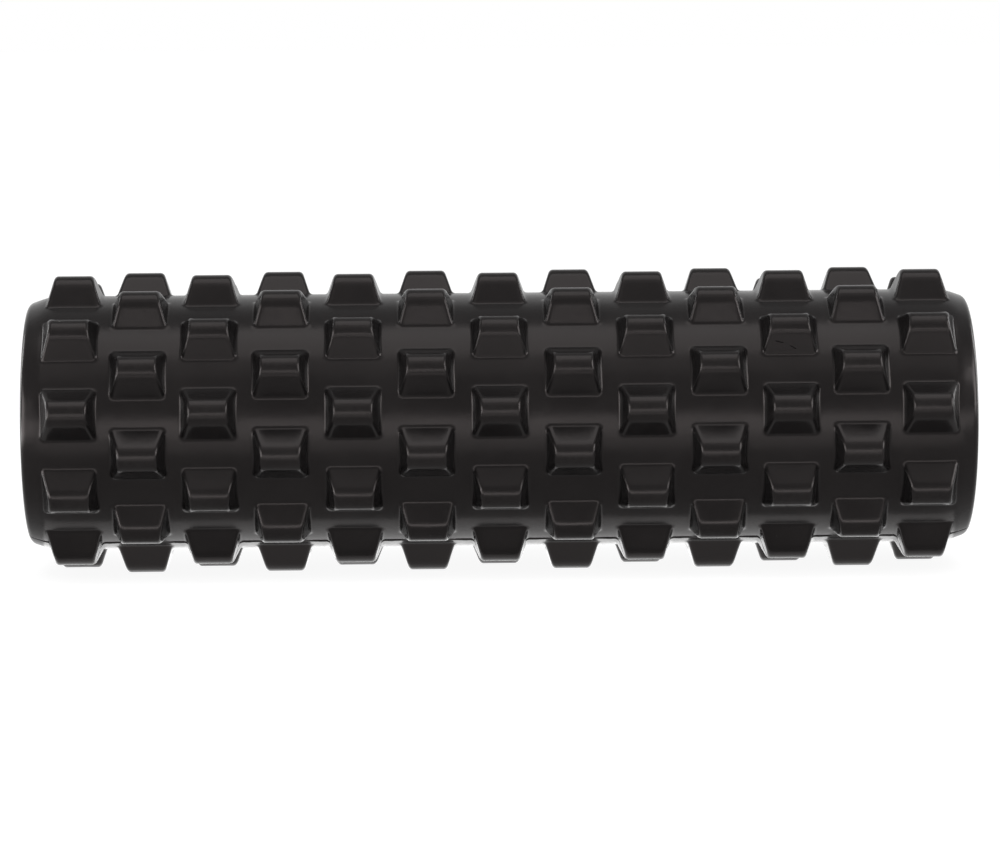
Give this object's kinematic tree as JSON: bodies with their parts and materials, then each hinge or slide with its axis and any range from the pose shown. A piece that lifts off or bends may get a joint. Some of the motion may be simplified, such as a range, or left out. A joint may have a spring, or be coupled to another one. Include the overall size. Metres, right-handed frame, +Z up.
{
  "type": "massage roller",
  "caption": "Hollow massage roller: a moulded foam sleeve with rings of raised rectangular nubs, glued on a rigid core tube, for rolling under the body.",
  "frame": {"origin": "middle of the roller, on its long axis", "axes": "+X along the roller's long axis, +Z up and -Y to the front as it rests on two rows of nubs"},
  "size_m": [0.45, 0.143, 0.143],
  "materials": {
    "foam": "satin closed-cell moulded foam skin",
    "core": "extruded black plastic tube"
  },
  "bodies": {
    "root": {"foam_sleeve": "foam", "core_tube": "core"}
  },
  "joints": []
}
